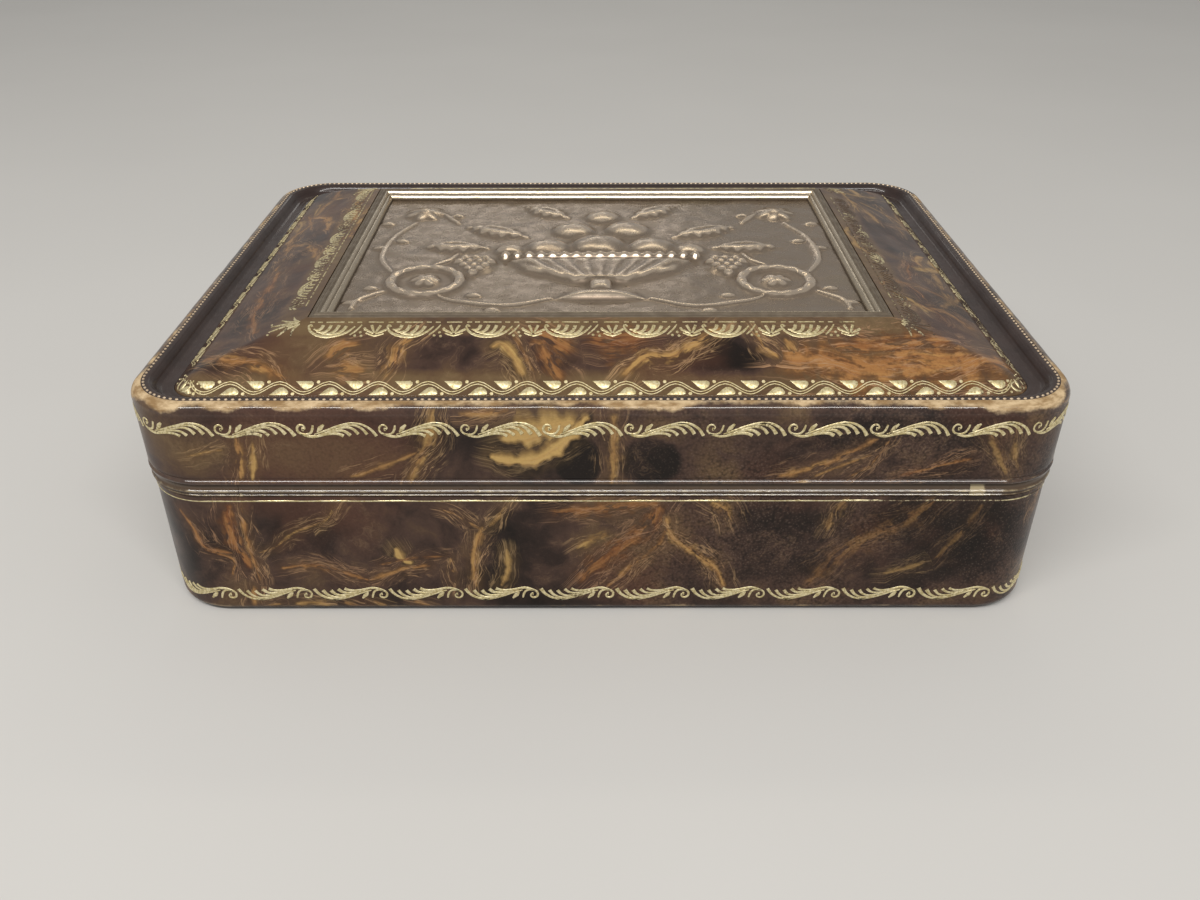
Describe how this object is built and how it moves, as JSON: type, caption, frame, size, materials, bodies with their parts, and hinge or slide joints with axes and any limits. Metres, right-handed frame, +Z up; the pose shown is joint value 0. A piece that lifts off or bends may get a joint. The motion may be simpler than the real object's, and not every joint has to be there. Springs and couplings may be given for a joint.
{
  "type": "keepsake box",
  "caption": "Low oblong keepsake box covered in glossy marbled leather with gold-tooled borders, a hinged lid with a raised panel and a framed embossed metal plaque.",
  "frame": {"origin": "middle of the underside, on the surface that the box stands on", "axes": "+Z up, +X to the right seen from the front, +Y to the back where the hinges are"},
  "size_m": [0.24, 0.1831, 0.0734],
  "materials": {
    "marbled_leather": "glossy marbled brown calf, gold tooled, worn along the edges",
    "rim_leather": "glossy brown leather strip, creased lengthwise",
    "gutter_leather": "dark brown leather with a gold dotted line",
    "pewter": "embossed and polished, brown patina in the hollows",
    "plaque_filler": "dark cast filler",
    "board_wood": "plain sanded softwood",
    "lining_velvet": "short pile velvet on card",
    "infill_card": "grey-brown card",
    "underside_cloth": "napped brown baize",
    "hinge_brass": "aged polished brass"
  },
  "bodies": {
    "base": {"base_back_board": "board_wood", "base_bottom_board": "board_wood", "base_floor_lining": "lining_velvet", "base_front_board": "board_wood", "base_leather_cover": "marbled_leather", "base_left_board": "board_wood", "base_lining_back": "lining_velvet", "base_lining_front": "lining_velvet", "base_lining_left": "lining_velvet", "base_lining_right": "lining_velvet", "base_right_board": "board_wood", "bottom_infill_card": "infill_card", "hinge_base_leaf_left": "hinge_brass", "hinge_base_leaf_right": "hinge_brass", "hinge_base_screws": "hinge_brass", "hinge_pin_left": "hinge_brass", "hinge_pin_right": "hinge_brass", "rim_strip_front": "rim_leather", "rim_strip_left": "rim_leather", "rim_strip_right": "rim_leather", "underside_cloth": "underside_cloth"},
    "lid": {"gutter_band": "gutter_leather", "hinge_lid_leaf_left": "hinge_brass", "hinge_lid_leaf_right": "hinge_brass", "hinge_lid_screws": "hinge_brass", "lid_back_rail": "board_wood", "lid_front_rail": "board_wood", "lid_leather_cover": "marbled_leather", "lid_left_rail": "board_wood", "lid_lining_back": "lining_velvet", "lid_lining_front": "lining_velvet", "lid_lining_left": "lining_velvet", "lid_lining_right": "lining_velvet", "lid_right_rail": "board_wood", "lid_top_board": "board_wood", "lid_top_lining": "lining_velvet", "panel_board": "board_wood", "panel_leather": "marbled_leather", "plaque": "pewter", "plaque_filler": "plaque_filler", "plaque_frame": "pewter"}
  },
  "joints": [
    {"name": "lid_hinge", "type": "hinge", "parent": "base", "child": "lid", "pos_m": [0, 0.0919, 0.04185], "axis": [-1, 0, 0], "range_deg": [0, 100]}
  ]
}
